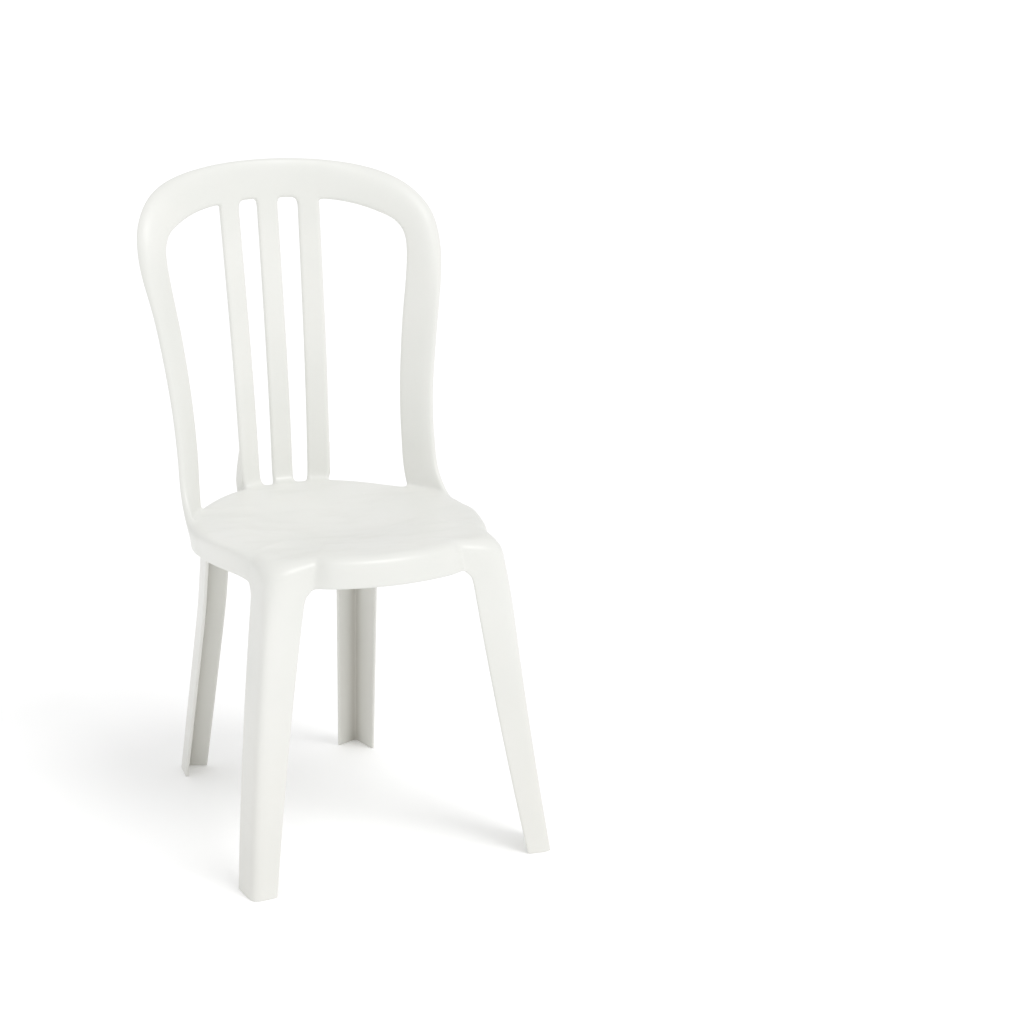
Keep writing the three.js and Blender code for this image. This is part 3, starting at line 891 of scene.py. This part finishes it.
def gusset_piece(side):
    """A web behind the outer edge of an outer slat, sunk a little into the slat and the skirt."""
    seat_columns = columns_named("outer_slat", 1)[1::-1]
    name = "gusset_right" if side > 0 else "gusset_left"
    work = bmesh.new()
    rows = []
    for kind, value, web in GUSSET:
        row = []
        for k, (across, _, depth) in zip(seat_columns, SLAT_SECTION[-2:]):
            angle = math.radians(columns[k].angle)
            out = np.array([math.sin(angle), math.cos(angle), 0])
            if kind == "z":
                at = on_sheet(slat_x("right", across, value), value, depth)
            else:
                at = faces_of[grid[k][EDGE_ROW + value]]
            for distance in (-GUSSET_SINK, web):
                row.append(work.verts.new((at + out * distance) * MM * np.array([side, 1, 1])))
        rows.append([row[0], row[1], row[3], row[2]])
    for above, below in zip(rows, rows[1:]):
        for k in range(4):
            work.faces.new((above[k], above[(k + 1) % 4], below[(k + 1) % 4], below[k]))
    work.faces.new(rows[0])
    work.faces.new(rows[-1])
    bmesh.ops.recalc_face_normals(work, faces=work.faces)
    offset = GUSSET_BEVEL * MM
    bmesh.ops.bevel(work, geom=work.edges[:], offset=offset, segments=3, affect="EDGES", profile=0.5)
    mesh = bpy.data.meshes.new(name)
    work.to_mesh(mesh)
    work.free()
    mesh.shade_smooth()
    return add_piece(f"{name}_resin", mesh, name)


# ---------------------------------------------------------------- material


class Nodes:
    """Short calls for building a node tree."""

    def __init__(self, tree):
        self.tree = tree
        tree.nodes.clear()

    def add(self, kind, inputs=(), **settings):
        node = self.tree.nodes.new(kind)
        for key, value in settings.items():
            setattr(node, key, value)
        for key, value in dict(inputs).items():
            self.feed(node.inputs[key], value)
        return node

    def feed(self, socket, value):
        if isinstance(value, bpy.types.NodeSocket):
            self.tree.links.new(value, socket)
        else:
            socket.default_value = value

    def noise(self, place, scale, detail=2.0, roughness=0.5):
        inputs = {"Vector": place, "Scale": scale, "Detail": detail, "Roughness": roughness}
        return self.add("ShaderNodeTexNoise", inputs).outputs["Fac"]

    def ramp(self, value, low, high, out_low=0.0, out_high=1.0):
        inputs = {"Value": value, "From Min": low, "From Max": high, "To Min": out_low, "To Max": out_high}
        node = self.add("ShaderNodeMapRange", inputs, interpolation_type="SMOOTHERSTEP")
        return node.outputs["Result"]

    def maths(self, operation, a, b):
        return self.add("ShaderNodeMath", {0: a, 1: b}, operation=operation).outputs[0]

    def mix(self, share, a, b):
        """A blend of two colours. The mix node's sockets share names, so they are given by number."""
        node = self.add("ShaderNodeMix", data_type="RGBA")
        for number, value in ((0, share), (6, a), (7, b)):
            self.feed(node.inputs[number], value)
        return node.outputs[2]


RESIN_SHADES = ((0.775, 0.781, 0.747, 1), (0.82, 0.822, 0.79, 1))
TINT = (0.75, 0.745, 0.70, 1)
WORN = (0.70, 0.705, 0.67, 1)
DUST_AND_SHADE = (0.62, 0.60, 0.55, 1)
DUST_AND_SHADE_TOP = 0.42  # metres above the floor at which the legs' dust and painted shade have faded out
SEAT_ONSET = (0.40, 0.415)  # metres over which the seat's scuffs set in
BACK_ONSET = (0.44, 0.52)  # metres over which the back's duller surface sets in
FACING_UP = (0.75, 0.97)  # range of the normal's z over which a face counts as seat
SMEAR_TURN = 0.5  # radians by which the scuffs run askew


def resin_material():
    """White moulded polypropylene: semi-gloss, faintly mottled, scuffed where people sit, with dust and
    painted shade low on the legs and painted shade inside the rear legs.
    """
    material = bpy.data.materials.new("resin")
    material.use_nodes = True
    n = Nodes(material.node_tree)
    place = n.add("ShaderNodeTexCoord").outputs["Object"]
    cloudy = n.noise(place, 7.0, 3.0)
    mottled = n.noise(place, 28.0, 3.0, 0.55)

    stretched = n.add("ShaderNodeMapping", {"Vector": place, "Scale": (12.0, 26.0, 18.0)})
    stretched.inputs["Rotation"].default_value = (0, 0, SMEAR_TURN)
    smear = n.ramp(n.noise(stretched.outputs[0], 1.2, 3.0, 0.5), 0.4, 0.8)

    height = n.add("ShaderNodeSeparateXYZ", {"Vector": place}).outputs["Z"]
    normal = n.add("ShaderNodeNewGeometry").outputs["Normal"]
    up = n.add("ShaderNodeSeparateXYZ", {"Vector": normal}).outputs["Z"]
    on_seat = n.maths("MULTIPLY", n.ramp(up, *FACING_UP), n.ramp(height, *SEAT_ONSET))
    scuffs = n.maths("MULTIPLY", on_seat, smear)

    clean = n.mix(n.ramp(cloudy, 0.2, 0.8), *RESIN_SHADES)
    tinted = n.mix(n.ramp(mottled, 0.3, 0.9, 0.0, 0.2), clean, TINT)
    worn = n.mix(n.maths("MULTIPLY", scuffs, 0.25), tinted, WORN)
    # Darker towards the floor: dust at the feet and painted shade up the legs.
    dusty_and_shaded = n.mix(n.ramp(height, 0.0, DUST_AND_SHADE_TOP, 0.25, 0.0), worn, DUST_AND_SHADE)
    # Painted shade in the inner corners and on the insides of the rear legs.
    corner_shade = n.add("ShaderNodeAttribute", attribute_name="corner_shade").outputs["Fac"]
    corner_shaded = n.mix(corner_shade, dusty_and_shaded, CORNER_SHADE_COLOUR)

    # Kept above 0.28: thin outlines showed where the roughness went lower.
    moulded = n.ramp(mottled, 0.2, 0.8, 0.29, 0.39)
    dulled = n.maths("ADD", moulded, n.ramp(height, *BACK_ONSET, 0.0, 0.1))
    rough = n.maths("ADD", dulled, n.maths("MULTIPLY", scuffs, 0.12))

    relief = n.maths("SUBTRACT", mottled, n.maths("MULTIPLY", scuffs, 0.1))
    strength = n.ramp(on_seat, 0.0, 1.0, 0.08, 0.3)
    bump = n.add("ShaderNodeBump", {"Strength": strength, "Distance": 0.0015, "Height": relief})

    inputs = {"Base Color": corner_shaded, "Roughness": rough, "Normal": bump.outputs[0], "IOR": 1.5}
    shader = n.add("ShaderNodeBsdfPrincipled", inputs)
    output = n.add("ShaderNodeOutputMaterial")
    n.tree.links.new(shader.outputs[0], output.inputs[0])
    return material


def floor_material():
    material = bpy.data.materials.new("pale_floor")
    material.use_nodes = True
    n = Nodes(material.node_tree)
    place = n.add("ShaderNodeTexCoord").outputs["Object"]
    colour = n.mix(n.noise(place, 1.5, 3.0), (0.95, 0.95, 0.95, 1), (0.97, 0.97, 0.97, 1))
    glow = {"Emission Color": (1, 1, 1, 1), "Emission Strength": 0.12}
    shader = n.add("ShaderNodeBsdfPrincipled", {"Base Color": colour, "Roughness": 0.6, **glow})
    output = n.add("ShaderNodeOutputMaterial")
    n.tree.links.new(shader.outputs[0], output.inputs[0])
    return material


resin = resin_material()
for region in sorted(set(region_of_cell.tolist())):
    region_piece(region)
for side in (1, -1):
    gusset_piece(side)


# ---------------------------------------------------------------- floor, light and camera

FLOOR_REACH = 30.0
WORLD_STRENGTH = 0.78
SUN_STRENGTH = 1.0
SUN_SPREAD = 28  # the sun's apparent size in degrees, which softens the shadows
SUN_FROM = (0.33, -0.8, 1.1)
CAMERA_LENS = 94.9
CAMERA_PLACE = (-1.2649, -3.3430, 1.3755)
CAMERA_DIP = 14.79  # degrees below the horizon
CAMERA_TURN = -24.74


def make_floor():
    reach = FLOOR_REACH
    mesh = bpy.data.meshes.new("floor")
    corners = [(-reach, -reach, 0), (reach, -reach, 0), (reach, reach, 0), (-reach, reach, 0)]
    mesh.from_pydata(corners, [], [(0, 1, 2, 3)])
    mesh.materials.append(floor_material())
    floor = bpy.data.objects.new("floor", mesh)
    bpy.context.scene.collection.objects.link(floor)


def make_lights():
    world = bpy.data.worlds.new("studio")
    world.use_nodes = True
    background = world.node_tree.nodes["Background"]
    background.inputs["Color"].default_value = (1.0, 1.0, 1.0, 1)
    background.inputs["Strength"].default_value = WORLD_STRENGTH
    bpy.context.scene.world = world
    sun = bpy.data.lights.new("window", "SUN")
    sun.energy = SUN_STRENGTH
    sun.angle = math.radians(SUN_SPREAD)
    lamp = bpy.data.objects.new("window", sun)
    lamp.rotation_euler = Vector(SUN_FROM).to_track_quat("Z", "Y").to_euler()
    bpy.context.scene.collection.objects.link(lamp)


def make_camera():
    """A long lens, from above and from the left of the front; the chair stands left of the middle."""
    camera = bpy.data.cameras.new("camera")
    camera.lens = CAMERA_LENS
    camera.clip_end = 50
    holder = bpy.data.objects.new("camera", camera)
    holder.location = CAMERA_PLACE
    holder.rotation_euler = (math.radians(90 - CAMERA_DIP), 0, math.radians(CAMERA_TURN))
    bpy.context.scene.collection.objects.link(holder)
    bpy.context.scene.camera = holder


make_floor()
make_lights()
make_camera()
bpy.context.scene.view_settings.view_transform = "Standard"
